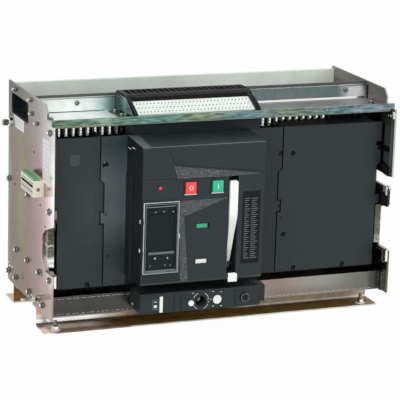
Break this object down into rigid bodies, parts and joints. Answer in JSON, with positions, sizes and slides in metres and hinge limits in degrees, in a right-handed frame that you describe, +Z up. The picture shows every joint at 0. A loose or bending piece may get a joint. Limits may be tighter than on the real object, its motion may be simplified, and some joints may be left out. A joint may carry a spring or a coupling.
{
  "type": "withdrawable air circuit breaker in its cradle",
  "caption": "Large low-voltage air circuit breaker with a black front, push buttons, trip unit and charging lever, on slide rails in a zinc-plated steel cradle.",
  "frame": {"origin": "on the floor, in the middle of the four floor fixing holes", "axes": "+X to the operator's right, +Y to the back, +Z up"},
  "size_m": [0.864, 0.494, 0.514],
  "materials": {
    "zinc_sheet": "yellow-passivated zinc, faint pink and green iridescence",
    "zinc_bright": "bright zinc-plated folded sheet",
    "grey_smc": "light grey glass-filled polyester moulding",
    "tinned_copper": "tin-plated copper",
    "bare_copper": "silver-plated copper finger contacts",
    "jet_plastic": "black moulding",
    "cover_plastic": "dark grey-black fine-textured moulding",
    "white_plastic": "white moulding",
    "cream_plastic": "cream moulding",
    "green_plastic": "green marker strip",
    "steel": "zinc-plated steel",
    "red_button": "red push button, plain letter O",
    "green_button": "green push button, plain letter I",
    "indicator": "indicator flags",
    "clear_cover": "clear window with a polished edge"
  },
  "bodies": {
    "cradle": {"left_side_plate": "zinc_sheet", "right_side_plate": "zinc_sheet", "bottom_pan": "zinc_sheet", "front_crossbar": "zinc_bright", "front_base_rail": "zinc_sheet", "rear_base_rail": "zinc_sheet", "top_channel": "zinc_bright", "arc_barrier": "zinc_bright", "rear_wall": "grey_smc", "main_terminals": "tinned_copper", "auxiliary_terminal_housing": "jet_plastic", "auxiliary_terminal_strip": "white_plastic", "auxiliary_terminal_brackets": "zinc_sheet", "side_guides": "jet_plastic", "fixed_rails": "zinc_bright", "rail_brackets": "zinc_sheet", "handle_cup": "jet_plastic", "racking_housing": "jet_plastic", "side_terminal_block": "cream_plastic", "side_terminal_marker": "green_plastic", "side_studs": "steel"},
    "breaker": {"pole_housing": "jet_plastic", "arc_chutes": "jet_plastic", "arc_chute_ribs": "cream_plastic", "left_outer_panel": "cover_plastic", "left_inner_panel": "cover_plastic", "right_inner_panel": "cover_plastic", "right_outer_panel": "cover_plastic", "disconnect_housing": "jet_plastic", "front_cover": "cover_plastic", "trip_unit": "jet_plastic", "indicator_plates": "indicator", "contact_clusters": "bare_copper", "carriage_rollers": "steel"},
    "left_rail": {"left_slide_rail": "zinc_bright"},
    "right_rail": {"right_slide_rail": "zinc_bright"},
    "racking_drive": {"racking_screw": "steel"},
    "release_push": {"release_button": "white_plastic"},
    "position_dial": {"position_disc": "white_plastic"},
    "key_lock": {"key_barrel": "steel"},
    "padlock_slide": {"padlock_tab": "white_plastic"},
    "off_push": {"off_button": "red_button"},
    "on_push": {"on_button": "green_button"},
    "charging_handle": {"charging_lever": "white_plastic"},
    "window_leaf": {"trip_window": "clear_cover"}
  },
  "joints": [
    {"name": "draw_out", "type": "slide", "parent": "cradle", "child": "breaker", "axis": [0, -1, 0], "range_m": [0, 0.3]},
    {"name": "left_rail_slide", "type": "slide", "parent": "cradle", "child": "left_rail", "axis": [0, -1, 0], "range_m": [0, 0.15]},
    {"name": "right_rail_slide", "type": "slide", "parent": "cradle", "child": "right_rail", "axis": [0, -1, 0], "range_m": [0, 0.15]},
    {"name": "charging_handle_swing", "type": "hinge", "parent": "breaker", "child": "charging_handle", "pos_m": [-0.01275, -0.2385, 0.156], "axis": [1, 0, 0], "range_deg": [0, 95], "stiffness_Nm_per_rad": 0.2, "springref_deg": -28.65},
    {"name": "off_press", "type": "slide", "parent": "breaker", "child": "off_push", "axis": [0, 1, 0], "range_m": [0, 0.005], "stiffness_N_per_m": 600, "springref_m": -0.002},
    {"name": "on_press", "type": "slide", "parent": "breaker", "child": "on_push", "axis": [0, 1, 0], "range_m": [0, 0.005], "stiffness_N_per_m": 600, "springref_m": -0.002},
    {"name": "window_swing", "type": "hinge", "parent": "breaker", "child": "window_leaf", "pos_m": [-0.222, -0.2675, 0.2335], "axis": [0, 0, -1], "range_deg": [0, 120]},
    {"name": "padlock_pull", "type": "slide", "parent": "cradle", "child": "padlock_slide", "axis": [0, -1, 0], "range_m": [0, 0.02]},
    {"name": "release_press", "type": "slide", "parent": "cradle", "child": "release_push", "axis": [0, 1, 0], "range_m": [0, 0.004], "stiffness_N_per_m": 400, "springref_m": -0.002},
    {"name": "position_turn", "type": "hinge", "parent": "cradle", "child": "position_dial", "pos_m": [-0.03, -0.2305, 0.073], "axis": [0, 1, 0], "range_deg": [0, 90]},
    {"name": "key_turn", "type": "hinge", "parent": "cradle", "child": "key_lock", "pos_m": [0.035, -0.2225, 0.073], "axis": [0, 1, 0], "range_deg": [0, 90]},
    {"name": "racking_turn", "type": "hinge", "parent": "cradle", "child": "racking_drive", "pos_m": [-0.069, -0.2025, 0.073], "axis": [0, 1, 0], "continuous": true}
  ],
  "couplings": [
    {"joint": "left_rail_slide", "follows": "draw_out", "ratio": 0.5},
    {"joint": "right_rail_slide", "follows": "draw_out", "ratio": 0.5}
  ]
}
